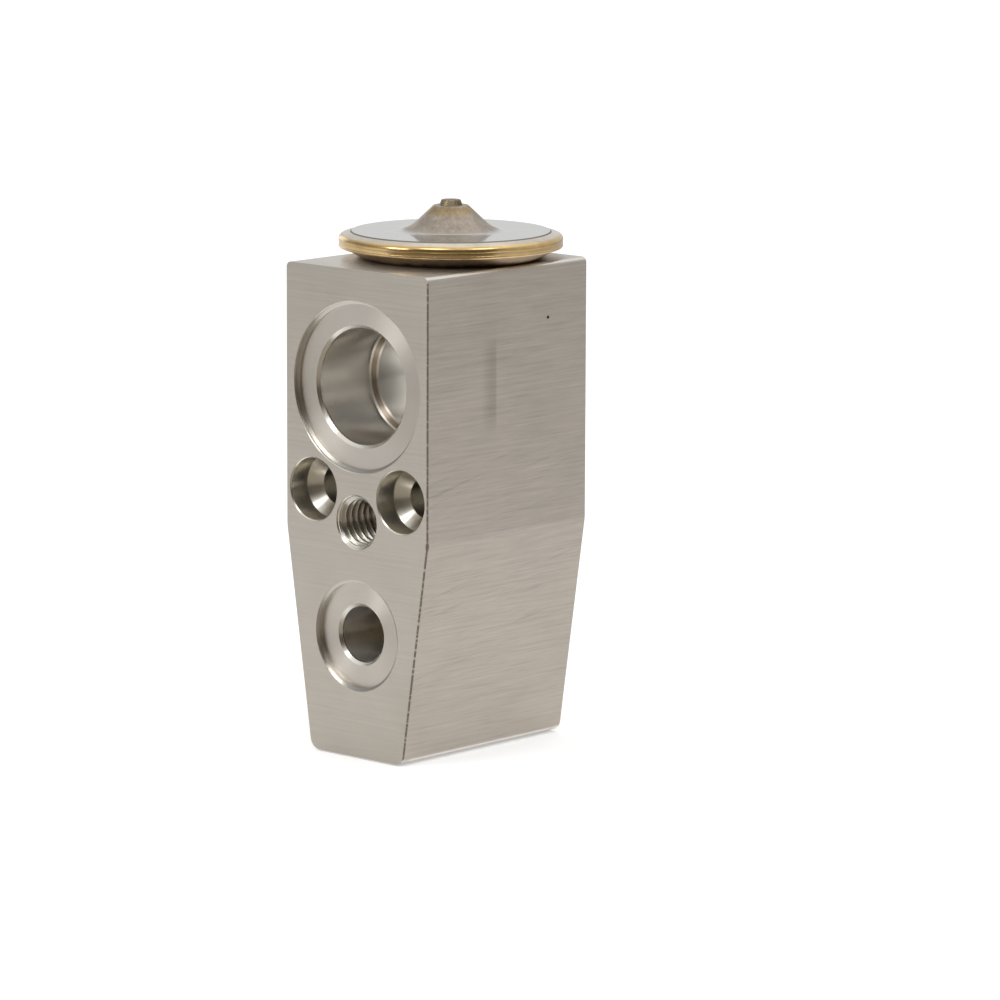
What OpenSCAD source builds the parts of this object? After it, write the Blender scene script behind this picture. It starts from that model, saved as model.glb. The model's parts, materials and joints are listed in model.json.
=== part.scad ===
// Block-type thermostatic expansion valve for a vehicle air conditioner, in millimetres.
// The port face looks towards -Y, the head is on top and the block stands on its foot at z = 0.
// Every module is drawn about the valve's upright axis and moved into place by on_axis().

/* [Block] */
// Width of the block across its parallel sides
block_w = 29; // [28.5:0.5:34]
// Depth of the block from the port face to the evaporator face
block_d = 35.1; // [34:0.1:42]
// Height of the block
block_h = 73.9; // [73:0.1:84]
// Height at which the sides begin to taper towards the foot
taper_h = 33.9; // [28:0.1:35]
// Width of the block at its foot
foot_w = 18.9; // [18.5:0.1:24]
// Rounding along the foot's long edges
foot_round = 1.8; // [0.6:0.1:2]
// Rounding where the taper begins
taper_round = 7; // [2:0.5:12]
// Rounding along the top's long edges
top_round = 0.8; // [0.2:0.1:1.5]
// Distance from the port face to the valve's upright axis
axis_front = 20.6; // [20:0.2:24]

/* [Suction passage] */
// Height of the suction passage
suction_z = 56.2; // [55:0.1:57]
// Bore of the two sockets that take the suction pipes
suction_socket_d = 17.7; // [16.5:0.1:18.6]
// Depth of the suction socket in the port face
suction_out_l = 12; // [9:0.1:13]
// Depth of the suction socket in the evaporator face
suction_in_l = 7.6; // [6:0.1:8]
// Bore of the narrow middle of the suction passage
suction_throat_d = 15.7; // [14:0.1:16]
// Seal recess round each suction socket, across
suction_recess_d = 25.8; // [23:0.1:27]

/* [Liquid passages] */
// Height of the liquid inlet
inlet_z = 18.6; // [17.5:0.1:20]
// Bore of the liquid inlet's socket
inlet_d = 8.6; // [7:0.1:9.4]
// Depth of the liquid inlet's socket
inlet_l = 11.5; // [8:0.1:12]
// Bore of the way from the inlet's socket to the spring chamber
inlet_way_d = 7.4; // [5:0.1:7.6]
// Seal recess round the liquid inlet, across
inlet_recess_d = 17; // [14:0.1:18]
// Bore of the liquid outlet's socket
outlet_d = 9.4; // [8:0.1:10]
// Depth of the liquid outlet's socket
outlet_l = 8; // [6:0.1:9]
// Bore of the way from the orifice to the outlet's socket
outlet_way_d = 7.6; // [6:0.1:8]
// Seal recess round the liquid outlet, across
outlet_recess_d = 17; // [14:0.1:18]

/* [Port details] */
// Depth of every seal recess
recess_depth = 1; // [1:0.1:1.8]
// Width of the slope that narrows the wall of a seal recess
recess_slope_w = 0.45; // [0.3:0.05:0.6]
// Depth of that slope
recess_slope_l = 0.25; // [0.15:0.05:0.35]
// Straight wall of a suction port's recess above the slope
recess_rim_l = 0.45; // [0.2:0.05:0.5]
// Lead-in chamfer at the mouth of every socket
mouth_chamfer = 0.45; // [0.3:0.05:0.9]

/* [Fixings] */
// Distance between the two bolt holes
bolt_spacing = 18; // [17:0.1:18.2]
// Height of the bolt holes
bolt_z = 39.9; // [39.5:0.1:41]
// Bolt hole across
bolt_d = 6; // [5.2:0.1:6.4]
// Counterbore for the bolt head, across
bolt_head_d = 9.5; // [8.6:0.1:9.8]
// Depth of the straight part of the counterbore
bolt_head_l = 3.6; // [3:0.1:6]
// Height of the tapped stud hole
stud_z = 35.8; // [35.2:0.1:36.2]
// Outer diameter of the stud's thread
stud_d = 8; // [6:0.5:8]
// Depth of the stud hole to its drill point
stud_l = 13.6; // [10:0.1:14]
// Edge break round the fixing holes
edge_break = 0.2; // [0.1:0.05:0.35]

/* [Valve] */
// Lift of the ball from shut to fully open
lift = 0.5; // [0.3:0.05:0.55]
// Orifice across
orifice_d = 3.8; // [3.2:0.1:4.2]
// Length of the straight orifice
orifice_l = 1.2; // [0.8:0.1:2]
// Ball across
ball_d = 6; // [5.8:0.1:6.4]
// Spring chamber across
chamber_d = 11.4; // [10.8:0.1:12]
// Push pin across
pin_d = 2.4; // [2:0.1:2.6]
// Sensing rod across
rod_d = 6.6; // [6:0.1:7.2]
// Length of the sensing rod's lower end that is guided below its seal
rod_guide_l = 3; // [2.5:0.1:4]
// Section of the sensing rod's seal
rod_seal_s = 1.6; // [1.2:0.1:1.8]

/* [Setting spring and screw] */
// Wire of the setting spring
wire_d = 0.9; // [0.7:0.05:1]
// Setting spring across its wire centres
spring_d = 6.1; // [5.8:0.1:6.2]
// Turns of the setting spring
spring_turns = 5.25; // [4.25:1:6.25]
// Depth of the spring's pocket in the adjusting screw
pocket_l = 4; // [3:0.1:4.4]
// Outer diameter of the adjusting screw's thread
screw_d = 14; // [13.5:0.1:14.4]
// Pitch of the adjusting screw's thread
screw_pitch = 1; // [0.75:0.25:1]
// Depth of the screw's face above the foot at the factory setting
screw_inset = 1.2; // [1.1:0.1:1.6]
// Threaded length of the adjusting screw
screw_thread_l = 5; // [4:0.1:5.4]
// Hexagon socket of the adjusting screw across its flats
hex_af = 6; // [5:0.5:7]
// Section of the adjusting screw's seal
screw_seal_s = 1.5; // [1.2:0.1:1.6]

/* [Head] */
// Head across its rim
head_d = 33.9; // [32:0.1:36]
// Foot of the head's bowl, across
bowl_d = 27; // [25:0.5:28]
// Sheet of the head's base shell
base_t = 0.6; // [0.5:0.05:0.8]
// Sheet of the diaphragm cover
cover_t = 1.05; // [0.8:0.05:1.1]
// Height of the base shell's flange above the block
flange_z = 1.65; // [1.5:0.05:2.2]
// Width of the rim where the two shells clamp the diaphragm
clamp_w = 1.85; // [1.4:0.05:2.4]
// Raised plate of the cover, across
plate_d = 30; // [28:0.1:30.4]
// Height of the plate above the cover's flange
plate_rise = 0.65; // [0.6:0.05:1]
// Height of the edge that sets the plate off from the sloping rim
plate_edge = 0.15; // [0.1:0.05:0.3]
// Centre cone of the cover, across its foot
cone_d = 13.4; // [11:0.1:15]
// Centre cone of the cover, across its flat top
cone_top_d = 5.2; // [4.6:0.1:6]
// Radius of the flare at the foot of the centre cone
cone_flare = 4; // [1:0.5:4.5]
// Height of the centre cone above the plate
cone_h = 3.85; // [3:0.05:5]
// Outer diameter of the threaded neck
neck_d = 20; // [18:0.1:21]
// Length of the threaded neck
neck_l = 6; // [5:0.1:6.2]
// Section of the seal under the head
head_seal_s = 1.35; // [1:0.05:1.6]
// Charge plug across its foot
plug_d = 3.5; // [3:0.1:4]
// Height of the charge plug above the cone
plug_h = 0.8; // [0.6:0.05:1.5]
// Diaphragm sheet
diaphragm_t = 0.15; // [0.1:0.01:0.2]
// Diaphragm stop across
stop_d = 23; // [21:0.5:24]

/* [Hidden] */
$fn = 96;
ARC_STEPS = 6;
CUT = 1;

// Running clearance on the radius of what slides or turns, and gap between pieces that touch
run = 0.03;
touch = 0.02;
// Gap between the shut ball and its seat
seat_gap = 0.05;

axis_back = block_d - axis_front;
// The origin stands under the middle of the whole valve, head included
axis_y = (axis_front - max(head_d / 2, axis_back)) / 2;

// Levels of the adjusting screw and the bore that holds it
screw_travel = screw_pitch;
thread_relief = 0.2;
bore_lead = 0.4;
groove_play = 0.15;
screw_land = 0.6;
pocket_play = 0.15;
hex_l = 3.8;
screw_thread_top = screw_inset + screw_thread_l;
screw_bore_top = screw_thread_top + screw_travel + thread_relief;
groove_half = screw_seal_s / 2 + groove_play;
screw_seal_z = screw_bore_top + bore_lead + screw_travel + groove_half;
screw_top = screw_seal_z + groove_half + screw_land;
pocket_floor = screw_top - pocket_l;
pocket_r = (spring_d + wire_d) / 2 + pocket_play;

// Levels of the seat, the ball and the orifice
chamber_over_inlet = 0.5;
seat_margin = 0.2;
outlet_reach = 2.6;
chamber_top = inlet_z + inlet_d / 2 + chamber_over_inlet;
seat_r = ball_d / 2 + seat_margin;
seat_l = seat_r - orifice_d / 2;
ball_z = chamber_top + seat_r - (ball_d / 2 + seat_gap) * sqrt(2);
outlet_floor = chamber_top + seat_l + orifice_l;
outlet_z = outlet_floor + outlet_way_d / 2;

// Levels of the ball carrier under the ball
cup_d = 7.2;
cup_lip = 1.6;
cup_wall = 0.05;
collar_d = 8.8;
collar_t = 1;
stem_l = 2.4;
stem_play = 0.5;
damper_t = 0.3;
cup_apex = ball_z - ball_d / 2 * sqrt(2);
cup_top = ball_z - ball_d / 2 + cup_lip;
collar_top = cup_apex - cup_wall;
collar_bottom = collar_top - collar_t;
stem_r = (spring_d - wire_d) / 2 - stem_play;
spring_top = collar_bottom - damper_t;

// Levels of the sensing rod, its guide and its seal
retainer_room = 1.8;
rod_end_room = 0.7;
pin_seat_l = 3;
throat_floor = suction_z - suction_throat_d / 2;
gland_z = throat_floor - rod_seal_s - retainer_room;
gland_r = rod_d / 2 + rod_seal_s;
rod_bottom = gland_z - rod_guide_l;
guide_floor = rod_bottom - lift - rod_end_room;
pin_bottom = ball_z + ball_d / 2 + touch;

// Levels of the head above the block
vapour_hole_d = 12;
neck_wall = 1.4;
neck_end_room = 0.7;
rim_lip = 0.8;
diaphragm_room = 0.1;
rim_r = head_d / 2;
shell_r = rim_r - rim_lip;
clamp_r = rim_r - clamp_w;
neck_bore_r = neck_d / 2 + touch;
neck_floor = block_h - neck_l - neck_end_room;
seam_z = flange_z + base_t;
cover_z = seam_z + diaphragm_t;
flange_top = cover_z + cover_t;
plate_z = flange_top + plate_rise;
ceiling_z = plate_z - cover_t;
cone_top_z = plate_z + cone_h;
dome_rise = ceiling_z - diaphragm_room - diaphragm_t - seam_z;

// Diaphragm stop, the tip of the sensing rod in its hub and the charge plug's shank
hub_d = 10;
hub_bottom = -1.5;
hub_hole_l = 2.4;
stop_top = seam_z + dome_rise - touch;
stop_bottom = base_t + lift + touch;
rod_tip_r = rod_d / 2 - 0.7;
plug_hole_r = plug_d / 2 - 0.75;
plug_end = 0.3;

module on_axis() {
  translate([0, axis_y, 0]) children();
}

// Corner b of a path from a to c as an arc of radius r, or the point itself where r is 0
function unit(v) = v / norm(v);
function corner(a, b, c, r) =
  r == 0 ? [b] :
  let (u = unit(a - b), v = unit(c - b), half = acos(u * v) / 2)
  let (mid = b + unit(u + v) * r / sin(half))
  let (p = b + u * r / tan(half) - mid, q = b + v * r / tan(half) - mid)
  let (start = atan2(p.y, p.x), sweep = atan2(q.y, q.x) - start)
  let (turn = sweep > 180 ? sweep - 360 : sweep < -180 ? sweep + 360 : sweep)
  [for (i = [0:ARC_STEPS]) let (t = start + turn * i / ARC_STEPS) mid + r * [cos(t), sin(t)]];

// Closed outline from [x, y, rounding] points
function rounded(pts) =
  [for (i = [0:len(pts) - 1])
    let (a = pts[(i + len(pts) - 1) % len(pts)], b = pts[i], c = pts[(i + 1) % len(pts)])
    each corner([a.x, a.y], [b.x, b.y], [c.x, c.y], b.z)];

// Outline of a sheet of thickness t that follows a path
function side(path, i) =
  let (d = unit(path[min(i + 1, len(path) - 1)] - path[max(i - 1, 0)])) [-d.y, d.x];
function strip(path, t) =
  let (n = len(path) - 1)
  concat([for (i = [0:n]) path[i] + side(path, i) * t / 2],
         [for (i = [n:-1:0]) path[i] - side(path, i) * t / 2]);

// Solid of revolution about the upright axis from [radius, height, rounding] points
module turned(pts) {
  rotate_extrude() polygon(rounded(pts));
}

// Lays a cutter that is drawn upwards from z = 0 into the port face or the evaporator face
module from_front(x, z) {
  translate([x, -axis_front, z]) rotate([-90, 0, 0]) children();
}
module from_back(x, z) {
  translate([x, axis_back, z]) rotate([90, 0, 0]) children();
}

// Cutter for a pipe socket with its seal recess, whose slope begins rim_l below the face
module socket(recess_d, bore_d, bore_l, rim_l) {
  recess_r = recess_d / 2;
  floor_r = recess_r - recess_slope_w;
  bore_r = bore_d / 2;
  turned([[0, -CUT, 0], [recess_r, -CUT, 0], [recess_r, rim_l, 0],
          [floor_r, rim_l + recess_slope_l, 0], [floor_r, recess_depth, 0],
          [bore_r + mouth_chamfer, recess_depth, 0], [bore_r, recess_depth + mouth_chamfer, 0],
          [bore_r, bore_l, 0], [0, bore_l, 0]]);
}

// Cutter for the end of a drilled hole
module drill_point(d) {
  cylinder(h = d * 0.3, r1 = d / 2, r2 = 0);
}

// Cutter for a suction socket with a broken edge and the cone that leads into the throat
module suction_socket(length) {
  face_break = 0.12;
  mouth_r = suction_recess_d / 2;
  socket(suction_recess_d, suction_socket_d, length, recess_rim_l);
  translate([0, 0, -face_break])
    cylinder(h = 2 * face_break, r1 = mouth_r + 2 * face_break, r2 = mouth_r);
  translate([0, 0, length])
    cylinder(h = (suction_socket_d - suction_throat_d) / 2, d1 = suction_socket_d,
             d2 = suction_throat_d);
}

module suction_cut() {
  from_front(0, suction_z) {
    suction_socket(suction_out_l);
    cylinder(h = block_d, d = suction_throat_d);
  }
  from_back(0, suction_z) suction_socket(suction_in_l);
}

module liquid_cut() {
  way_l = axis_back + outlet_reach;
  from_front(0, inlet_z) {
    socket(inlet_recess_d, inlet_d, inlet_l, 0);
    cylinder(h = axis_front, d = inlet_way_d);
  }
  from_back(0, outlet_z) {
    socket(outlet_recess_d, outlet_d, outlet_l, 0);
    cylinder(h = way_l, d = outlet_way_d);
    translate([0, 0, way_l]) drill_point(outlet_way_d);
  }
}

module bolt_cut() {
  head_r = bolt_head_d / 2;
  hole_r = bolt_d / 2;
  for (side = [-1, 1]) {
    from_front(side * bolt_spacing / 2, bolt_z) {
      turned([[0, -CUT, 0], [head_r + edge_break, -CUT, 0], [head_r + edge_break, 0, 0],
              [head_r, edge_break, 0], [head_r, bolt_head_l, 0],
              [hole_r, bolt_head_l + head_r - hole_r, 0],
              [hole_r, block_d + CUT, 0], [0, block_d + CUT, 0]]);
    }
    from_back(side * bolt_spacing / 2, bolt_z)
      cylinder(h = 2 * edge_break, r1 = hole_r + edge_break, r2 = hole_r - edge_break);
  }
}

module stud_cut() {
  from_front(0, stud_z) {
    cylinder(h = stud_l, d = stud_d);
    translate([0, 0, -CUT]) cylinder(h = CUT, r = stud_d / 2 + edge_break);
    cylinder(h = edge_break, r1 = stud_d / 2 + edge_break, r2 = stud_d / 2);
    translate([0, 0, stud_l]) drill_point(stud_d);
  }
}

// Stepped bore on the upright axis, from the adjusting screw up to the head's seal
module valve_cut() {
  thread_r = screw_d / 2;
  seal_r = chamber_d / 2;
  pin_bore_r = pin_d / 2 + run;
  rod_bore_r = rod_d / 2 + run;
  head_seal_r = neck_bore_r + head_seal_s;
  turned([[0, -CUT, 0], [thread_r + bore_lead, -CUT, 0], [thread_r + bore_lead, 0, 0],
          [thread_r, bore_lead, 0], [thread_r, screw_bore_top, 0],
          [seal_r + bore_lead, screw_bore_top, 0], [seal_r, screw_bore_top + bore_lead, 0],
          [seal_r, chamber_top, 0], [seat_r, chamber_top, 0],
          [orifice_d / 2, chamber_top + seat_l, 0], [orifice_d / 2, outlet_z, 0],
          [pin_bore_r, outlet_z, 0], [pin_bore_r, guide_floor, 0],
          [rod_bore_r, guide_floor, 0], [rod_bore_r, gland_z, 0],
          [gland_r, gland_z, 0], [gland_r, suction_z, 0],
          [vapour_hole_d / 2, suction_z, 0], [vapour_hole_d / 2, neck_floor, 0],
          [neck_bore_r, neck_floor, 0], [neck_bore_r, block_h - head_seal_s, 0],
          [head_seal_r, block_h - head_seal_s, 0], [head_seal_r, block_h + CUT, 0],
          [0, block_h + CUT, 0]]);
}

// Extruded block, cut to length and drilled from all sides
module valve_body() color("silver") on_axis() {
  half_w = block_w / 2;
  half_foot = foot_w / 2;
  difference() {
    translate([0, axis_back, 0]) rotate([90, 0, 0]) linear_extrude(height = block_d)
      polygon(rounded([[half_foot, 0, foot_round], [half_w, taper_h, taper_round],
                       [half_w, block_h, top_round], [-half_w, block_h, top_round],
                       [-half_w, taper_h, taper_round], [-half_foot, 0, foot_round]]));
    suction_cut();
    liquid_cut();
    bolt_cut();
    stud_cut();
    valve_cut();
  }
}

// Lower half of the head: a pressed bowl with a flat rim and a threaded neck
module head_base() color("gold") on_axis() translate([0, 0, block_h]) {
  neck_r = neck_d / 2;
  lead = 0.4;
  bowl_r = bowl_d / 2;
  slope = flange_z / (shell_r - bowl_r);
  // Sheet thickness measured upright through the bowl's slope
  upright_t = base_t * norm([1, slope]);
  inner_r = bowl_r + (base_t - upright_t) / slope;
  inner_z = (clamp_r - bowl_r) * slope + upright_t;
  turned([[neck_r - neck_wall, -neck_l, 0], [neck_r - lead, -neck_l, 0],
          [neck_r, -neck_l + lead, 0], [neck_r, 0, 0],
          [bowl_r, 0, 1], [shell_r, flange_z, 0.4], [rim_r, flange_z, 0.25],
          [rim_r, seam_z, 0.25], [clamp_r, seam_z, 0.15], [clamp_r, inner_z, 0.2],
          [inner_r, base_t, 0.6], [neck_r - neck_wall, base_t, 0.3]]);
}

// Thin sprung disc with one corrugation, clamped between the two shells
module diaphragm() color("lightgray") on_axis() translate([0, 0, block_h]) {
  edge_r = rim_r - 0.4;
  flat_r = stop_d / 2 + 0.3;
  steps = 16;
  wave = 0.06;
  slope = [for (i = [0:steps])
    let (t = i / steps, r = clamp_r + (flat_r - clamp_r) * t)
    [r, seam_z + dome_rise * (1 - cos(180 * t)) / 2 + wave * sin(360 * t) * sin(180 * t)]];
  lower = concat([[edge_r, seam_z]], slope, [[0, seam_z + dome_rise]]);
  upper = [for (i = [len(lower) - 1:-1:0]) lower[i] + [0, diaphragm_t]];
  rotate_extrude() polygon(concat(lower, upper));
}

// Upper half of the head: flange, raised plate and the centre cone that the charge plug closes
module diaphragm_cover() color("gold") on_axis() translate([0, 0, block_h]) {
  plate_r = plate_d / 2;
  cone_r = cone_d / 2;
  top_r = cone_top_d / 2;
  // Sheet thickness measured level through the cone's wall
  level_t = cover_t * norm([cone_r - top_r, cone_h]) / cone_h;
  under_z = cone_top_z - cover_t;
  under_r = top_r + (cone_r - top_r) * cover_t / cone_h - level_t;
  ceiling_r = cone_r + (cone_r - top_r) * cover_t / cone_h - level_t;
  turned([[clamp_r, cover_z, 0.15], [rim_r, cover_z, 0.35], [rim_r, flange_top, 0.7],
          [plate_r + 0.15, plate_z - plate_edge, 0], [plate_r, plate_z, 0.1],
          [cone_r, plate_z, cone_flare], [top_r, cone_top_z, 0.5], [plug_hole_r, cone_top_z, 0],
          [plug_hole_r, under_z, 0], [under_r, under_z, 0.1],
          [ceiling_r, ceiling_z, cone_flare + cover_t], [clamp_r - 0.35, ceiling_z, 0.3]]);
}

// Tapered plug with crimp marks round its head
module charge_plug() color("peru") on_axis() translate([0, 0, block_h + cone_top_z]) {
  foot_r = plug_d / 2;
  shank_r = plug_hole_r - touch;
  taper = 0.3;
  marks = 9;
  mark_r = 0.16;
  mark_depth = 0.12;
  difference() {
    turned([[0, plug_h, 0], [foot_r - taper, plug_h, 0.15], [foot_r, 0, 0], [shank_r, 0, 0],
            [shank_r, -cover_t - plug_end, 0.15], [0, -cover_t - plug_end, 0]]);
    for (i = [0:marks - 1])
      rotate(360 * (i + 0.5) / marks) translate([foot_r + mark_r - mark_depth, 0, 0.1])
        rotate([0, -atan(taper / plug_h), 0]) cylinder(h = plug_h * 2, r = mark_r, $fn = 24);
  }
}

// Ring seal of section s that fills the gap outside a shaft of radius r
module ring_seal(r, s) {
  rotate_extrude() translate([r + s / 2, 0]) circle(r = s / 2 - touch / 2, $fn = 32);
}

module head_seal() color("black") on_axis() {
  translate([0, 0, block_h - head_seal_s / 2]) ring_seal(neck_d / 2 + touch, head_seal_s);
}

module rod_seal() color("black") on_axis() {
  translate([0, 0, gland_z + rod_seal_s / 2]) ring_seal(rod_d / 2, rod_seal_s);
}

module screw_seal() color("black") on_axis() {
  translate([0, 0, screw_seal_z]) ring_seal(chamber_d / 2 - screw_seal_s, screw_seal_s);
}

// Toothed push nut that holds the sensing rod's seal down in its gland
module rod_seal_retainer() color("lightgray") on_axis() {
  bottom = gland_z + rod_seal_s + touch;
  inner_r = rod_d / 2 + 0.15;
  flat_r = inner_r + 0.5;
  outer_r = gland_r - touch;
  dish = 0.45;
  sheet = 0.4;
  slots = 6;
  slot_w = 0.7;
  slot_l = 0.6;
  translate([0, 0, bottom]) difference() {
    turned([[inner_r, 0, 0], [flat_r, 0, 0], [outer_r, dish, 0],
            [outer_r, dish + sheet, 0], [flat_r, sheet, 0], [inner_r, sheet, 0]]);
    for (i = [0:slots - 1])
      rotate(360 * i / slots) translate([outer_r - slot_l, -slot_w / 2, -CUT])
        cube([slot_l + CUT, slot_w, dish + sheet + 2 * CUT]);
  }
}

// Disc under the diaphragm with the hub that takes the sensing rod's tip
module diaphragm_stop() color("silver") on_axis() translate([0, 0, block_h]) {
  difference() {
    turned([[0, stop_top, 0], [stop_d / 2, stop_top, 0.3], [stop_d / 2, stop_bottom, 0.3],
            [hub_d / 2, stop_bottom, 0.3], [hub_d / 2, hub_bottom, 0.4], [0, hub_bottom, 0]]);
    translate([0, 0, hub_bottom - CUT]) cylinder(h = hub_hole_l + CUT, r = rod_tip_r + touch);
  }
}

// Aluminium rod that feels the suction gas and carries the diaphragm's motion down
module sensing_rod() color("gainsboro") on_axis() {
  tip_room = 0.1;
  shoulder_z = block_h + hub_bottom;
  tip_z = shoulder_z + hub_hole_l - tip_room;
  difference() {
    turned([[0, rod_bottom, 0], [rod_d / 2, rod_bottom, 0.3], [rod_d / 2, shoulder_z, 0.15],
            [rod_tip_r, shoulder_z, 0], [rod_tip_r, tip_z, 0.3], [0, tip_z, 0]]);
    translate([0, 0, rod_bottom - CUT]) cylinder(h = pin_seat_l + CUT, d = pin_d + 2 * touch);
  }
}

module push_pin() color("silver") on_axis() {
  pin_top = rod_bottom + pin_seat_l - touch;
  turned([[0, pin_bottom, 0], [pin_d / 2, pin_bottom, 0.3], [pin_d / 2, pin_top, 0.2],
          [0, pin_top, 0]]);
}

module valve_ball() color("gainsboro") on_axis() {
  translate([0, 0, ball_z]) sphere(d = ball_d);
}

// Turned seat under the ball, with a collar for the springs and a guide stem inside them
module ball_carrier() color("khaki") on_axis() {
  bottom = collar_bottom - damper_t - stem_l;
  cup_floor = cup_apex - touch * sqrt(2);
  cup_mouth_r = cup_top - cup_floor;
  turned([[0, bottom, 0], [stem_r, bottom, 0.4], [stem_r, collar_bottom, 0],
          [collar_d / 2, collar_bottom, 0.15], [collar_d / 2, collar_top, 0.2],
          [cup_d / 2, collar_top, 0.3], [cup_d / 2, cup_top, 0.2], [cup_mouth_r, cup_top, 0],
          [0, cup_floor, 0]]);
}

// Sheet ring with sprung legs that rub on the chamber wall and keep the ball from chattering
module damper_spring() color("silver") on_axis() {
  legs = 4;
  leg_turn = 28;
  leg_l = 3.6;
  bend = 150;
  steps = 8;
  wall_play = 0.06;
  overlap = 0.05;
  hole_r = stem_r + touch;
  ring_r = collar_d / 2 - 0.45;
  reach = (chamber_d - damper_t) / 2 - wall_play - ring_r;
  middle_z = collar_bottom - damper_t / 2;
  path = [for (i = [0:steps]) let (t = i / steps)
    [ring_r + reach * sin(bend * t), middle_z - leg_l * t * sin(30 + 60 * t)]];
  rotate_extrude() translate([hole_r, collar_bottom - damper_t])
    square([ring_r + overlap - hole_r, damper_t]);
  for (i = [0:legs - 1]) rotate(360 * (i + 0.5) / legs - leg_turn / 2)
    rotate_extrude(angle = leg_turn) polygon(strip(path, damper_t));
}

// Coil spring swept along its own helix, with its end turns closed up
module setting_spring() color("dimgray") on_axis() {
  low = pocket_floor + wire_d / 2 + touch;
  high = spring_top - wire_d / 2 - touch;
  closed = wire_d * 1.04;
  steps = 20;
  sides = 8;
  rings = round(spring_turns * steps);
  rise = [[0, low], [1, low + closed], [spring_turns - 1, high - closed], [spring_turns, high]];
  points = [for (i = [0:rings], j = [0:sides - 1])
    let (turn = i / steps, side = 360 * j / sides, r = (spring_d + wire_d * cos(side)) / 2)
    [r * cos(360 * turn), r * sin(360 * turn), lookup(turn, rise) + wire_d / 2 * sin(side)]];
  walls = [for (i = [0:rings - 1], j = [0:sides - 1])
    let (a = i * sides + j, b = i * sides + (j + 1) % sides) [a, b, b + sides, a + sides]];
  first = [for (j = [sides - 1:-1:0]) j];
  last = [for (j = [0:sides - 1]) rings * sides + j];
  polyhedron(points, concat([first], walls, [last]), convexity = 8);
}

// Hexagon socket screw that closes the chamber and sets the spring
module adjusting_screw() color("khaki") on_axis() {
  thread_r = screw_d / 2 - run;
  land_r = chamber_d / 2 - run;
  groove_r = chamber_d / 2 - screw_seal_s;
  hex_r = hex_af / cos(30) / 2;
  lead = 0.3;
  pocket_lead = 0.2;
  difference() {
    turned([[0, screw_inset, 0], [thread_r, screw_inset, 0.4], [thread_r, screw_thread_top, 0.3],
            [land_r, screw_thread_top, 0], [land_r, screw_seal_z - groove_half, 0.1],
            [groove_r, screw_seal_z - groove_half, 0.1],
            [groove_r, screw_seal_z + groove_half, 0.1],
            [land_r, screw_seal_z + groove_half, 0.1], [land_r, screw_top, 0.2],
            [pocket_r + pocket_lead, screw_top, 0], [pocket_r, screw_top - pocket_lead, 0],
            [pocket_r, pocket_floor, 0.3], [0, pocket_floor, 0]]);
    translate([0, 0, screw_inset - CUT]) cylinder(h = hex_l + CUT, r = hex_r, $fn = 6);
    translate([0, 0, screw_inset - CUT]) cylinder(h = CUT, r = hex_r + lead);
    translate([0, 0, screw_inset]) cylinder(h = 2 * lead, r1 = hex_r + lead, r2 = hex_r - lead);
  }
}

valve_body();
head_base();
diaphragm();
diaphragm_cover();
charge_plug();
head_seal();
diaphragm_stop();
sensing_rod();
rod_seal();
rod_seal_retainer();
push_pin();
valve_ball();
ball_carrier();
damper_spring();
setting_spring();
adjusting_screw();
screw_seal();
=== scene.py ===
"""Looks of the block-type expansion valve: finishes, stud thread, weld bead, setting spring, studio."""
import json
import math

import bpy
from mathutils import Matrix, Vector


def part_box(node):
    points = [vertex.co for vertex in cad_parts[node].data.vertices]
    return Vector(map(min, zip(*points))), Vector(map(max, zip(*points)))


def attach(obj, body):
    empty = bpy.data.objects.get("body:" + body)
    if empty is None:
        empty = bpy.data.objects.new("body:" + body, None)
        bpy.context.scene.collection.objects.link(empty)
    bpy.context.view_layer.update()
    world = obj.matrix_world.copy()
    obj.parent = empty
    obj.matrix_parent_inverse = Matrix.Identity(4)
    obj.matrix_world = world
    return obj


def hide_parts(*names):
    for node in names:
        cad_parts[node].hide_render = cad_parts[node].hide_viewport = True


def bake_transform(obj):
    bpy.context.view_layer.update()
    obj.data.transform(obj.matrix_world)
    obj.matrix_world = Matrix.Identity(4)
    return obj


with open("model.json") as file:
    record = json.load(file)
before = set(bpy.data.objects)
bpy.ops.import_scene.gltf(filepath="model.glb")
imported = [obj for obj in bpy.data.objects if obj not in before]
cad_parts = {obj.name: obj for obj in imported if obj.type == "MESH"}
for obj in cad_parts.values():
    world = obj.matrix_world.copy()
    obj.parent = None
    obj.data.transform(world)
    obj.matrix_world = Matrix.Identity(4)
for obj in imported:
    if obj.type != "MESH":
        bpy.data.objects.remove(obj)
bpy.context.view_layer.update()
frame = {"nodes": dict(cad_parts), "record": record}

MM = 0.001
nodes = frame["nodes"]
mounts = {m["name"]: m for m in frame["record"]["mounts"]}
block_low, block_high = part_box("valve_body")
head_low, head_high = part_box("diaphragm_cover")


def mount_z(name):
    return mounts[name]["pos_m"][2] / MM


# Millimetres from here on, unless a name says otherwise: the block
half_w = block_high[0] / MM
front_y = block_low[1] / MM
back_y = block_high[1] / MM
block_h = block_high[2] / MM
taper_h = 33.9
half_foot = 9.45

# Its holes, and how far the marks of their tools reach round them
suction_z = mount_z("suction_outlet")
inlet_z = mount_z("liquid_inlet")
outlet_z = mount_z("liquid_outlet")
bolt_z = mount_z("fixing_bolts")
bolt_x = mounts["fixing_bolts"]["dims"]["spacing_x_mm"] / 2
stud_z = mount_z("pipe_plate_stud")
throat_r = 7.85
suction_reach = 13.1
liquid_reach = 8.7
bolt_row_half = 7.0
stud_reach = 4.4

# The head on top of it
axis_y = (head_low[1] + head_high[1]) / 2 / MM
rim_r = head_high[0] / MM
rim_low = block_h + 1.65
seam_z = block_h + 2.25
plate_r = 15.0
clamp_r = 15.1
cone_r = 6.7
cone_top = block_h + 7.95

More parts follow.
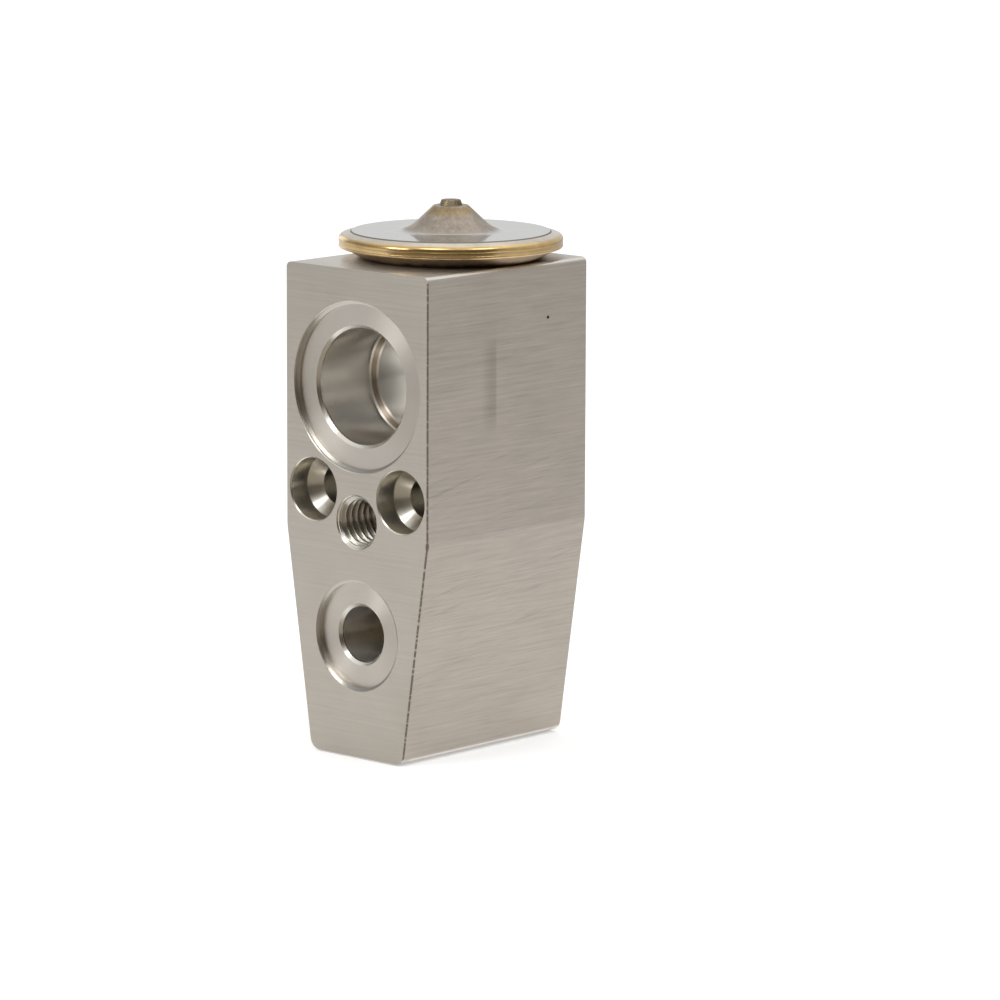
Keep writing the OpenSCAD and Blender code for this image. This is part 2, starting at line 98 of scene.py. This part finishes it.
# The unlit part of the studio: the level direction to it from the valve, its colour and its loss of light
unlit_side = (0.673, -0.739)
warm_dark = (1.0, 0.88, 0.72)
unlit_loss = 0.72
white = (1.0, 1.0, 1.0)


class Graph:
    """Builds a shader: most calls add nodes and return the output socket of the last one."""

    def __init__(self, owner):
        owner.use_nodes = True
        self.owner = owner
        self.tree = owner.node_tree
        self.tree.nodes.clear()

    @classmethod
    def surface(cls, name):
        """Graph of a new material, with the place in millimetres and the normal split up."""
        g = cls(bpy.data.materials.new(name))
        coords = g.node("ShaderNodeTexCoord")
        g.p = g.vector("SCALE", coords.outputs["Object"], scale=1 / MM)
        g.x, g.y, g.z = g.split(g.p)
        g.nx, g.ny, g.nz = g.split(coords.outputs["Normal"])
        return g

    def node(self, kind, **settings):
        n = self.tree.nodes.new(kind)
        for key, value in settings.items():
            setattr(n, key, value)
        return n

    def feed(self, socket, value):
        """Links a socket to another's output, or sets its number or colour."""
        if isinstance(value, bpy.types.NodeSocket):
            self.tree.links.new(value, socket)
        else:
            socket.default_value = value

    def split(self, vector):
        n = self.node("ShaderNodeSeparateXYZ")
        self.feed(n.inputs[0], vector)
        return n.outputs[0], n.outputs[1], n.outputs[2]

    def join(self, x, y, z):
        n = self.node("ShaderNodeCombineXYZ")
        for socket, value in zip(n.inputs, (x, y, z)):
            self.feed(socket, value)
        return n.outputs[0]

    def vector(self, operation, a, b=None, scale=None):
        n = self.node("ShaderNodeVectorMath", operation=operation)
        self.feed(n.inputs[0], a)
        if b is not None:
            self.feed(n.inputs[1], b)
        if scale is not None:
            self.feed(n.inputs["Scale"], scale)
        return n.outputs["Value"] if operation in ("LENGTH", "DOT_PRODUCT") else n.outputs[0]

    def math(self, operation, *values):
        n = self.node("ShaderNodeMath", operation=operation)
        for socket, value in zip(n.inputs, values):
            self.feed(socket, value)
        return n.outputs[0]

    def chain(self, operation, first, *others):
        """One operation over any number of values."""
        result = first
        for value in others:
            result = self.math(operation, result, value)
        return result

    def add(self, *values):
        return self.chain("ADD", *values)

    def times(self, *values):
        return self.chain("MULTIPLY", *values)

    def most(self, *values):
        return self.chain("MAXIMUM", *values)

    def less(self, a, b):
        return self.math("SUBTRACT", a, b)

    def swing(self, value):
        """A noise value as a number round 0."""
        return self.less(value, 0.5)

    def size(self, value):
        return self.math("ABSOLUTE", value)

    def no(self, mask):
        return self.less(1.0, mask)

    def step(self, value, start, end):
        """0 at start, 1 at end and smooth between; start may be the larger."""
        n = self.node("ShaderNodeMapRange", interpolation_type="SMOOTHSTEP")
        low, high = min(start, end), max(start, end)
        for key, number in zip((1, 2, 3, 4), (low, high, 0.0, 1.0)):
            n.inputs[key].default_value = number
        self.feed(n.inputs[0], value)
        return n.outputs[0] if start < end else self.no(n.outputs[0])

    def band(self, value, centre, half, soft):
        """1 within half of centre, fading to 0 over soft."""
        return self.step(self.size(self.less(value, centre)), half + soft, half)

    def noise(self, vector, scale=1.0, detail=2.0, roughness=0.5):
        n = self.node("ShaderNodeTexNoise")
        self.feed(n.inputs["Vector"], vector)
        n.inputs["Scale"].default_value = scale
        n.inputs["Detail"].default_value = detail
        n.inputs["Roughness"].default_value = roughness
        return n.outputs["Fac"]

    def rings(self, distance, per_mm):
        """Noise that changes with one distance alone, as the marks of a turning tool do."""
        return self.noise(self.join(self.times(distance, per_mm), 0.0, 0.0), detail=3.0, roughness=0.7)

    def radius(self, a, b, centre_a, centre_b):
        return self.vector("LENGTH", self.join(self.less(a, centre_a), self.less(b, centre_b), 0.0))

    def mix(self, mask, a, b):
        """Colour a where mask is 0, b where it is 1."""
        n = self.node("ShaderNodeMix", data_type="RGBA")
        self.feed(n.inputs["Factor"], mask)
        for key, value in (("A", a), ("B", b)):
            socket = [s for s in n.inputs if s.name == key and s.type == "RGBA"][0]
            self.feed(socket, value if isinstance(value, bpy.types.NodeSocket) else (*value, 1.0))
        return [s for s in n.outputs if s.type == "RGBA"][0]

    def blend(self, mask, a, b):
        """Number a where mask is 0, b where it is 1."""
        n = self.node("ShaderNodeMix", data_type="FLOAT")
        self.feed(n.inputs["Factor"], mask)
        self.feed(n.inputs["A"], a)
        self.feed(n.inputs["B"], b)
        return n.outputs["Result"]

    def shade(self, colour, amount):
        """Colour made lighter or darker by a number round 1."""
        return self.vector("SCALE", colour, scale=amount)

    def bump(self, height, depth):
        n = self.node("ShaderNodeBump")
        n.inputs["Strength"].default_value = 1.0
        n.inputs["Distance"].default_value = depth * MM
        self.feed(n.inputs["Height"], height)
        return n.outputs[0]

    def finish(self, colour, roughness, normal, metallic=1.0, spread=None):
        """Principled surface; spread is the direction in which tool marks stretch a highlight."""
        shader = self.node("ShaderNodeBsdfPrincipled")
        self.feed(shader.inputs["Base Color"], colour)
        self.feed(shader.inputs["Roughness"], roughness)
        self.feed(shader.inputs["Normal"], normal)
        shader.inputs["Metallic"].default_value = metallic
        if spread is not None:
            shader.inputs["Anisotropic"].default_value = 0.8
            self.feed(shader.inputs["Tangent"], spread)
        output = self.node("ShaderNodeOutputMaterial")
        self.feed(output.inputs["Surface"], shader.outputs[0])
        return self.owner


def grain(g, along, across, depth, stretch, fine):
    """Fine parallel lines: nearly even along them, quick to change across."""
    coarse = g.noise(g.join(g.times(along, stretch), g.times(across, fine), g.times(depth, fine)),
                     detail=3.0, roughness=0.65)
    thin = g.noise(g.join(g.times(along, stretch * 3), g.times(across, fine * 4),
                          g.times(depth, fine * 4)), detail=2.0, roughness=0.6)
    return g.add(g.times(coarse, 0.6), g.times(thin, 0.4))


def mark_block_faces(g):
    """Keeps on g the masks of the outer faces: sides, ends with the ports, top, foot, and all of them."""
    skin, clear_of_skin = 0.1, 0.3
    end_skin, clear_of_end = 0.04, 0.08
    top_skin, clear_of_top = 0.6, 0.9
    half = g.math("MINIMUM", half_w, g.add(half_foot, g.times(g.z, (half_w - half_foot) / taper_h)))
    near_end = g.most(g.step(g.y, front_y + clear_of_end, front_y + end_skin),
                      g.step(g.y, back_y - clear_of_end, back_y - end_skin))
    near_top = g.step(g.z, block_h - clear_of_top, block_h - top_skin)
    g.near_side = g.step(g.less(half, g.size(g.x)), clear_of_skin, skin)
    g.sides = g.times(g.near_side, g.step(g.size(g.nx), 0.3, 0.8))
    g.ends = g.times(near_end, g.step(g.size(g.ny), 0.5, 0.8))
    g.top = g.times(near_top, g.step(g.nz, 0.3, 0.8))
    g.foot = g.step(g.z, clear_of_skin, skin)
    g.outer = g.most(g.top, g.foot, g.ends, g.sides)


def mark_block_holes(g):
    """Keeps on g the masks of the holes, and how a place lies from the axis of its own hole."""
    sharp = 0.05
    hair = 0.01
    liquid_z = g.blend(g.step(g.y, 0.0, hair), inlet_z, outlet_z)
    from_suction = g.radius(g.x, g.z, 0.0, suction_z)
    from_liquid = g.radius(g.x, g.z, 0.0, liquid_z)
    g.in_suction = g.step(from_suction, suction_reach + sharp, suction_reach - sharp)
    in_liquid = g.step(from_liquid, liquid_reach + sharp, liquid_reach - sharp)
    g.in_bolt_row = g.times(g.band(g.z, (bolt_z + stud_z) / 2, bolt_row_half, hair),
                            g.no(g.in_suction), g.no(in_liquid))
    beside_stud = g.step(g.size(g.x), stud_reach, stud_reach + hair)
    port_z = g.blend(g.in_suction, liquid_z, suction_z)
    hole_z = g.blend(g.in_bolt_row, port_z, g.blend(beside_stud, stud_z, bolt_z))
    hole_x = g.times(g.in_bolt_row, beside_stud, g.math("SIGN", g.x), bolt_x)
    g.away = g.join(g.less(g.x, hole_x), 0.0, g.less(g.z, hole_z))
    g.r = g.vector("LENGTH", g.away)


def side_scratches(g):
    """Slanting scratches in two stretches of the block's sides."""
    slope = math.radians(11)
    low_z, high_z, fade = 21.0, 42.0, 5.0
    across = g.add(g.times(g.z, math.cos(slope)), g.times(g.y, -math.sin(slope)))
    along = g.add(g.times(g.y, math.cos(slope)), g.times(g.z, math.sin(slope)))
    lines = g.noise(g.join(g.times(along, 0.05), g.times(across, 1.6), 3.0), detail=4.0, roughness=0.7)
    stretches = g.most(g.band(g.z, low_z, 7.0, fade), g.band(g.z, high_z, 3.0, fade))
    return g.times(g.step(lines, 0.54, 0.70), stretches, g.sides)


def edge_marks(g):
    """Dark line where the port face meets the right side, dashed on the taper, and one blob on it."""
    blob_z, blob_r = 33.8, 0.5
    line = g.times(g.band(g.y, front_y + 0.08, 0.10, 0.06), g.near_side, g.step(g.x, 0.0, 1.0),
                   g.step(g.z, block_h - 0.6, block_h - 1.0))
    dashes = g.step(g.noise(g.join(0.0, 0.0, g.z), scale=1.7, detail=2.0), 0.38, 0.50)
    between = g.blend(g.step(g.z, taper_h, taper_h - 4), 0.55, 0.2)
    line = g.times(line, g.blend(dashes, between, 1.0))
    from_blob = g.join(g.less(g.x, half_w), g.less(g.y, front_y), g.times(g.less(g.z, blob_z), 0.5))
    return line, g.step(g.vector("LENGTH", from_blob), blob_r, blob_r / 2)


def pit_and_smudge(g):
    """The one pit and the faint upright smudge on the block's right side."""
    pit_y, pit_z, smudge_z = 7.7, 65.55, 56.6
    right_side = g.step(g.x, 13.0, 13.5)
    pit = g.times(g.step(g.radius(g.y, g.z, pit_y, pit_z), 0.34, 0.16), right_side)
    smudge = g.times(g.band(g.z, smudge_z, 3.6, 5.0), g.step(g.y, -7.6, -4.6), g.step(g.y, -3.5, -4.1),
                     right_side)
    return pit, smudge


def block_finish():
    """Milled ends, drawn sides and turned ports of the aluminium block."""
    g = Graph.surface("block_aluminium")
    end_grey = (0.465, 0.428, 0.377)
    side_grey = (0.445, 0.400, 0.350)
    top_lit_grey = (0.62, 0.59, 0.545)
    turned_grey = (0.52, 0.485, 0.44)
    bright_grey = (0.74, 0.71, 0.65)
    bored_grey = (0.86, 0.83, 0.78)
    hole_grey = (0.71, 0.68, 0.61)
    throat_shade_brown = (0.62, 0.49, 0.36)
    dark = (0.10, 0.085, 0.065)
    pit_black = (0.02, 0.018, 0.015)
    mouth_depth, cone_depth = 1.6, 4.0
    mark_block_faces(g)
    mark_block_holes(g)

    milled = grain(g, g.x, g.z, g.y, stretch=0.05, fine=2.6)
    drawn = grain(g, g.y, g.z, g.x, stretch=0.08, fine=2.5)
    sawn = grain(g, g.x, g.y, g.z, stretch=0.05, fine=2.0)
    turned = g.rings(g.add(g.r, g.times(g.y, 0.6)), 9.0)
    mottle = g.noise(g.p, scale=0.12, detail=2.0)
    scratched = side_scratches(g)
    edge_line, blob = edge_marks(g)
    pit, smudge = pit_and_smudge(g)

    walls = g.step(g.size(g.ny), 0.93, 0.85)
    reamed = g.add(0.5, g.times(g.swing(turned), 0.4))
    outside = g.blend(g.ends, g.blend(g.sides, g.blend(g.top, turned, sawn), drawn), milled)
    pattern = g.blend(g.outer, g.blend(walls, turned, reamed), outside)

    def deeper(depth, soft):
        """Mask of what lies deeper than this below either end."""
        return g.times(g.step(g.y, front_y + depth, front_y + depth + soft),
                       g.step(g.y, back_y - depth, back_y - depth - soft))

    in_throat = g.times(g.in_suction, g.step(g.r, throat_r + 0.9, throat_r + 0.7))
    bored = g.times(deeper(mouth_depth, 0.4), g.no(in_throat))
    slopes = g.times(g.no(g.outer), g.step(g.size(g.ny), 0.93, 0.91), g.step(g.size(g.ny), 0.78, 0.82))
    # Painted shade in the sloping ring at the foot of the throat: a brown colour and a darker tone
    groove = g.times(g.in_suction, walls, g.step(g.size(g.ny), 0.4, 0.6), deeper(cone_depth, 1.0),
                     g.band(g.r, throat_r + 0.5, 0.20, 0.14))

    ported = g.mix(bored, bright_grey, bored_grey)
    inner = g.mix(walls, turned_grey, g.mix(g.in_bolt_row, ported, hole_grey))
    # Painted shade: the throat's ring takes a brown colour
    inner = g.mix(g.times(groove, 0.7), inner, throat_shade_brown)
    # The top's lighter grey is painted light from above; the ends and sides keep darker greys
    faces = g.mix(g.top, g.mix(g.sides, end_grey, side_grey), top_lit_grey)
    tone = g.add(1.0, g.times(g.swing(pattern), g.blend(g.sides, 0.45, 0.80)),
                 g.times(g.swing(mottle), 0.14), g.times(scratched, -0.16))
    # Painted shade: the chamfer cones are darkened by 30 % and the throat's ring by 38 %
    tone = g.times(tone, g.no(g.times(slopes, 0.30)), g.no(g.times(groove, 0.38)))
    colour = g.shade(g.mix(g.outer, inner, faces), tone)
    colour = g.mix(g.times(g.most(edge_line, blob), 0.85), colour, dark)
    colour = g.mix(pit, colour, pit_black)
    colour = g.shade(colour, g.no(g.times(smudge, 0.20)))

    wall_rough = g.blend(g.times(bored, g.no(g.in_bolt_row)), 0.26, 0.32)
    rough = g.blend(g.outer, g.blend(walls, 0.38, wall_rough), g.blend(g.sides, 0.33, 0.37))
    rough = g.add(rough, g.times(g.swing(pattern), 0.18))
    height = g.add(pattern, g.times(scratched, -0.5), g.times(pit, -8.0), g.times(edge_line, -2.0))
    floors = g.blend(g.outer, g.step(g.size(g.ny), 0.5, 0.6), 0.0)
    along_y, along_z = (0.0, 1.0, 0.0), (0.0, 0.0, 1.0)
    spread = g.mix(g.outer, g.mix(floors, along_y, g.away), g.mix(g.most(g.top, g.foot), along_z, along_y))
    return g.finish(colour, rough, g.bump(height, 0.012), spread=spread)


def head_radius(g):
    return g.radius(g.x, g.y, 0.0, axis_y)


def heat_tint(g, seed):
    """Uneven tint left by the rim weld."""
    return g.noise(g.vector("ADD", g.p, (seed, 0.0, 0.0)), scale=0.35, detail=3.0, roughness=0.6)


def cover_finish():
    """Bright plate, tarnished cone and gold heat-tinted rim of the pressed cover."""
    g = Graph.surface("cover_steel")
    silver = (0.56, 0.555, 0.54)
    brown = (0.36, 0.31, 0.255)
    tip_brown = (0.33, 0.24, 0.12)
    gold = (0.60, 0.42, 0.19)
    pale_gold = (0.62, 0.56, 0.46)
    step_shade_brown = (0.12, 0.10, 0.07)
    r = head_radius(g)
    stain = heat_tint(g, 3.0)
    rings = g.rings(r, 6.0)
    grime = g.noise(g.p, scale=1.1, detail=5.0, roughness=0.7)
    speckle = g.noise(g.p, scale=5.0, detail=4.0, roughness=0.7)
    on_cone = g.step(r, cone_r + 1.2, cone_r - 0.2)
    on_rim = g.step(r, plate_r + 0.15, plate_r + 0.35)
    on_rim_wall = g.step(r, rim_r - 0.75, rim_r - 0.25)
    step_shade = g.band(r, plate_r + 0.10, 0.08, 0.06)
    high = g.add(g.z, g.times(g.swing(stain), 1.2))
    on_tip = g.times(g.step(high, cone_top - 1.5, cone_top - 0.8), g.step(high, cone_top, cone_top - 0.3))

    cone = g.shade(g.mix(g.times(on_tip, 0.75), brown, tip_brown), g.add(0.96, g.times(g.swing(grime), 1.2)))
    colour = g.mix(on_rim, g.mix(on_cone, silver, cone), g.mix(on_rim_wall, pale_gold, gold))
    colour = g.shade(colour, g.add(1.0, g.times(g.swing(stain), g.blend(on_rim, 0.3, 0.6)),
                                   g.times(g.swing(rings), 0.08)))
    # Painted shade in the step where the plate drops to the rim
    colour = g.mix(g.times(step_shade, 0.75), colour, step_shade_brown)
    rough = g.blend(on_rim, g.blend(on_cone, 0.09, 0.42), 0.20)
    rough = g.blend(step_shade, rough, 0.6)
    rough = g.add(rough, g.times(g.swing(stain), g.blend(on_cone, 0.06, 0.14)))
    height = g.add(g.times(rings, 0.15), g.times(speckle, on_cone))
    return g.finish(colour, rough, g.bump(height, 0.01))


def base_finish():
    """Gold rim and duller, grainy bowl of the head's base, with painted shade low on the bowl towards the
    block.
    """
    g = Graph.surface("base_steel")
    gold = (0.66, 0.47, 0.23)
    beige = (0.62, 0.50, 0.37)
    underside_shade = (0.23, 0.17, 0.105)
    stain = heat_tint(g, 11.0)
    speckle = g.noise(g.p, scale=4.0, detail=5.0, roughness=0.75)
    bowl = g.step(g.add(g.z, g.times(g.swing(stain), 0.7)), rim_low + 0.3, rim_low - 0.1)
    # Painted shade on the bowl's underside, darker towards the block's top
    shaded_underside = g.step(g.add(g.z, g.times(g.swing(stain), 0.8)), rim_low - 0.8, block_h + 0.2)
    colour = g.mix(bowl, gold, g.mix(shaded_underside, beige, underside_shade))
    colour = g.shade(colour, g.add(1.0, g.times(g.swing(stain), 0.5), g.times(g.swing(speckle), 0.6, bowl)))
    rough = g.add(g.blend(bowl, 0.20, 0.40), g.times(g.swing(speckle), 0.15))
    return g.finish(colour, rough, g.bump(g.times(speckle, g.blend(bowl, 0.2, 1.0)), 0.03))


def plug_finish():
    """Stained and speckled steel of the charge plug."""
    g = Graph.surface("plug_steel")
    dark_stain, light_stain = (0.13, 0.10, 0.065), (0.30, 0.24, 0.155)
    speckle = g.noise(g.p, scale=7.0, detail=4.0, roughness=0.7)
    colour = g.mix(g.step(heat_tint(g, 5.0), 0.35, 0.65), dark_stain, light_stain)
    return g.finish(colour, g.blend(speckle, 0.30, 0.50), g.bump(speckle, 0.02))


def ground_finish(name, colour, rough):
    """Turned or ground metal with rings round the upright axis, dark gold outside the clamp's radius: weld
    tint with painted shade of the seam between the shells.
    """
    g = Graph.surface(name)
    edge_tint_and_shade = (0.13, 0.09, 0.035)
    r = head_radius(g)
    rings = g.rings(g.add(r, g.z), 8.0)
    stain = g.noise(g.p, scale=0.6, detail=3.0)
    tone = g.add(1.0, g.times(g.swing(rings), 0.22), g.times(g.swing(stain), 0.18))
    # Outside the clamp's radius: dark gold weld tint with painted shade of the seam
    colour = g.mix(g.step(r, clamp_r - 0.3, clamp_r + 0.3), g.shade(colour, tone), edge_tint_and_shade)
    return g.finish(colour, g.add(rough, g.times(g.swing(rings), 0.15)), g.bump(rings, 0.008))


def rubber_finish():
    """Dull black rubber with a little dust."""
    g = Graph.surface("seal_rubber")
    black, dusty = (0.012, 0.016, 0.014), (0.035, 0.04, 0.037)
    dust = g.noise(g.p, scale=3.0, detail=5.0, roughness=0.7)
    colour = g.mix(g.step(dust, 0.45, 0.75), black, dusty)
    return g.finish(colour, g.blend(dust, 0.45, 0.65), g.bump(dust, 0.015), metallic=0.0)


def paint(materials):
    """Each CAD node takes the finish of its slot in the record."""
    for part in frame["record"]["subparts"]:
        mesh = nodes[part["node"]].data
        mesh.materials.clear()
        mesh.materials.append(materials[part["material_slot"]])


def circle(around):
    """Evenly spaced angles of a full turn."""
    return [2 * math.pi * j / around for j in range(around)]


def ring_faces(rings, around, closed):
    """Faces between each ring of points and the next; closed joins the last ring to the first."""
    faces = []
    for i in range(rings if closed else rings - 1):
        k = (i + 1) % rings
        for j in range(around):
            j2 = (j + 1) % around
            faces.append((i * around + j, i * around + j2, k * around + j2, k * around + j))
    return faces


def smooth_piece(name, points, faces, material):
    """New smooth object from points in millimetres."""
    mesh = bpy.data.meshes.new(name)
    mesh.from_pydata([(x * MM, y * MM, z * MM) for x, y, z in points], [], faces)
    mesh.update()
    mesh.shade_smooth()
    mesh.materials.append(material)
    piece = bpy.data.objects.new(name, mesh)
    bpy.context.scene.collection.objects.link(piece)
    return piece


def stud_thread(material):
    """M8 thread with its lead-in, cut into the wall of the stud hole."""
    pitch, crest_r, root_r, wall_r = 1.25, 3.33, 3.988, 3.998
    start, end, lead = 0.2, 13.3, 0.668
    crest_share, flank_share = 0.22, 0.66
    around, rings_per_turn = 72, 18
    steps = int(end / pitch * rings_per_turn)

    def ring(depth, radii):
        return [(r * math.cos(angle), front_y + depth, stud_z + r * math.sin(angle))
                for r, angle in zip(radii, circle(around))]

    points = []
    for i in range(steps + 1):
        depth = start + (end - start) * i / steps
        lead_in_r = wall_r - (depth - start) * (wall_r - crest_r) / lead
        radii = []
        for j in range(around):
            phase = (depth / pitch - j / around) % 1.0
            groove = min(1.0, max(0.0, (abs(phase - 0.5) * 2 - crest_share) / flank_share))
            radii.append(max(crest_r + (root_r - crest_r) * groove, lead_in_r))
        points += ring(depth, radii)
    points += ring(end, [wall_r] * around) + ring(start, [wall_r] * around)
    faces = ring_faces(len(points) // around, around, closed=True)
    thread = smooth_piece("stud_thread", points, faces, material)
    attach(thread, "block")


def rim_bead(material):
    """Weld bead that closes the seam between the two shells of the head."""
    low, high = rim_low + 0.28, seam_z + 0.52
    out_r, in_r = rim_r - 0.012, rim_r - 0.45
    crown, chamfer, ripple = 0.03, 0.1, 0.002
    around, rows = 256, 8
    profile = []
    for i in range(rows + 1):
        t = i / rows
        profile.append((out_r - crown * (2 * t - 1) ** 2, low + (high - low) * t))
    profile += [(in_r, high - chamfer), (in_r, low + chamfer)]
    points = []
    for r, z in profile:
        for angle in circle(around):
            wave = ripple * (math.sin(41 * angle) + math.sin(17 * angle + 1.3) - 2)
            wavy = r + wave if r > in_r else r
            points.append((wavy * math.cos(angle), axis_y + wavy * math.sin(angle), z))
    faces = ring_faces(len(profile), around, closed=True)
    bead = smooth_piece("rim_bead", points, faces, material)
    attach(bead, "block")


def setting_coils(material):
    """The setting spring remade in two halves, a lower and an upper one; the CAD spring is hidden."""
    low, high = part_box("setting_spring")
    wire_r, coil_r, turns = 0.45, 3.05, 5.25
    around, per_turn = 12, 32
    bottom, top = low[2] / MM + wire_r, high[2] / MM - wire_r
    closed = 2.08 * wire_r
    climb = (top - bottom - 2 * closed) / (turns - 2)

    def height(turn):
        """Height of the wire's middle, with a closed turn at each end."""
        if turn < 1:
            return bottom + closed * turn
        if turn > turns - 1:
            return top - closed * (turns - turn)
        return bottom + closed + climb * (turn - 1)

    def half(name, first, last):
        rings = round((last - first) * per_turn) + 1
        points = []
        for i in range(rings):
            turn = first + (last - first) * i / (rings - 1)
            angle = 2 * math.pi * turn
            for side in circle(around):
                r = coil_r + wire_r * math.cos(side)
                points.append((r * math.cos(angle), axis_y + r * math.sin(angle),
                               height(turn) + wire_r * math.sin(side)))
        first_end = tuple(range(around - 1, -1, -1))
        last_end = tuple((rings - 1) * around + j for j in range(around))
        faces = [first_end, last_end] + ring_faces(rings, around, closed=False)
        coils = smooth_piece(name, points, faces, material)
        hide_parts("setting_spring")
        return coils

    lower = half("setting_spring_low", 0.0, turns / 2)
    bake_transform(lower)
    upper = half("setting_spring_high", turns / 2, turns)
    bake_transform(upper)


def studio_world():
    """White to the camera; to all else a soft room, bright overhead and unlit on one side."""
    all_round, more_behind, more_overhead = 0.36, 0.42, 0.60
    world = bpy.data.worlds.new("studio")
    bpy.context.scene.world = world
    g = Graph(world)
    direction = g.node("ShaderNodeTexCoord").outputs["Generated"]
    _, back, up = g.split(direction)
    room = g.add(all_round, g.times(g.step(back, -0.3, 0.8), more_behind),
                 g.times(g.step(up, 0.4, 0.8), more_overhead))
    facing = g.vector("DOT_PRODUCT", direction, (*unlit_side, 0.0))
    unlit = g.times(g.step(facing, 0.35, 0.80), g.step(up, 0.70, 0.35))
    room = g.times(room, g.no(g.times(unlit, unlit_loss)))
    rays = g.node("ShaderNodeLightPath")
    seen = g.most(rays.outputs["Is Camera Ray"], rays.outputs["Is Transmission Ray"])
    background = g.node("ShaderNodeBackground")
    g.feed(background.inputs["Strength"], g.blend(seen, room, 1.0))
    g.feed(background.inputs["Color"], g.mix(g.times(unlit, g.no(seen)), white, warm_dark))
    g.feed(g.node("ShaderNodeOutputWorld").inputs["Surface"], background.outputs[0])


def studio_floor():
    """White table under the valve, in metres. It keeps its shadow, and reflections see it fade away."""
    reach, drop, albedo = 12.0, 0.0002, 0.8
    camera_glow, mirrored_glow = 0.36, 0.35
    far_tone, beside_tone = 0.74, 0.70
    mesh = bpy.data.meshes.new("floor")
    corners = [(-reach, -reach, 0), (reach, -reach, 0), (reach, reach, 0), (-reach, reach, 0)]
    mesh.from_pydata(corners, [], [(0, 1, 2, 3)])
    floor = bpy.data.objects.new("floor", mesh)
    floor.location.z = -drop
    bpy.context.scene.collection.objects.link(floor)

    # The unlit part lies in front of the valve, to the right of a slanting border
    g = Graph(bpy.data.materials.new("floor_white"))
    place = g.node("ShaderNodeTexCoord").outputs["Object"]
    rays = g.node("ShaderNodeLightPath")
    mirrored = rays.outputs["Is Glossy Ray"]
    x, y, _ = g.split(place)
    border_x = g.times(g.add(y, 0.03), 0.466)
    unlit = g.times(g.step(g.less(x, border_x), -0.005, 0.005), g.step(y, -0.028, -0.036))
    beside = g.vector("DOT_PRODUCT", place, (unlit_side[0], -unlit_side[1], 0.0))
    fade = g.times(g.blend(g.step(g.vector("LENGTH", place), 0.06, 0.5), 1.0, far_tone),
                   g.blend(g.step(beside, 0.09, 0.21), 1.0, beside_tone))
    level = g.times(fade, g.no(g.times(unlit, unlit_loss)))
    tone = g.mix(g.times(unlit, mirrored), white, warm_dark)
    table = g.node("ShaderNodeBsdfDiffuse")
    g.feed(table.inputs["Color"], g.shade(tone, g.blend(mirrored, albedo, g.times(level, albedo))))
    glow = g.node("ShaderNodeEmission")
    g.feed(glow.inputs["Color"], tone)
    g.feed(glow.inputs["Strength"], g.add(g.times(rays.outputs["Is Camera Ray"], camera_glow),
                                          g.times(mirrored, level, mirrored_glow)))
    both = g.node("ShaderNodeAddShader")
    g.feed(both.inputs[0], table.outputs[0])
    g.feed(both.inputs[1], glow.outputs[0])
    g.feed(g.node("ShaderNodeOutputMaterial").inputs["Surface"], both.outputs[0])
    mesh.materials.append(g.owner)


def softbox(name, azimuth, elevation, distance, size, radiance):
    """Square lamp that looks at the valve, in metres; azimuth 0 stands in front of the port face."""
    target = Vector((0.0, 0.0, block_h / 2 * MM))
    a, e = math.radians(azimuth), math.radians(elevation)
    away = Vector((math.sin(a) * math.cos(e), -math.cos(a) * math.cos(e), math.sin(e)))
    lamp = bpy.data.lights.new(name, "AREA")
    lamp.shape = "SQUARE"
    lamp.size = size
    lamp.energy = radiance * math.pi * size * size
    lamp.color = (1.0, 0.985, 0.96)
    obj = bpy.data.objects.new(name, lamp)
    obj.location = target + away * distance
    obj.rotation_euler = away.to_track_quat("Z", "Y").to_euler()
    bpy.context.scene.collection.objects.link(obj)


def camera():
    """The photograph's camera, solved from the block's corners and port circles."""
    yaw, pitch, roll = 42.33, 9.71, 0.20
    place_m = (0.56145, -0.60334, 0.17796)
    data = bpy.data.cameras.new("camera")
    data.sensor_width = 36.0
    data.lens = 198.19
    data.clip_start, data.clip_end = 0.05, 50.0
    obj = bpy.data.objects.new("camera", data)
    turn = Matrix.Rotation(math.radians(yaw), 4, "Z") @ Matrix.Rotation(math.radians(90 - pitch), 4, "X")
    turn = turn @ Matrix.Rotation(math.radians(roll), 4, "Z")
    obj.matrix_world = Matrix.Translation(place_m) @ turn
    bpy.context.scene.collection.objects.link(obj)
    bpy.context.scene.camera = obj


materials = {
    "block_aluminium": block_finish(),
    "cover_steel": cover_finish(),
    "base_steel": base_finish(),
    "plug_steel": plug_finish(),
    "stainless_steel": ground_finish("stainless_steel", (0.50, 0.49, 0.47), 0.28),
    "spring_steel": ground_finish("spring_steel", (0.36, 0.35, 0.33), 0.34),
    "rod_aluminium": ground_finish("rod_aluminium", (0.56, 0.55, 0.53), 0.32),
    "brass": ground_finish("brass", (0.55, 0.40, 0.16), 0.30),
    "seal_rubber": rubber_finish(),
}
paint(materials)
stud_thread(materials["block_aluminium"])
rim_bead(materials["base_steel"])
setting_coils(materials["spring_steel"])

studio_world()
studio_floor()
softbox("key", azimuth=-16, elevation=23, distance=0.6, size=0.20, radiance=6.0)
softbox("front", azimuth=20, elevation=52, distance=0.6, size=0.20, radiance=3.0)
softbox("right", azimuth=84, elevation=47, distance=0.6, size=0.20, radiance=3.0)
softbox("left", azimuth=-110, elevation=12, distance=0.7, size=0.30, radiance=0.8)
camera()
bpy.context.scene.view_settings.view_transform = "Standard"
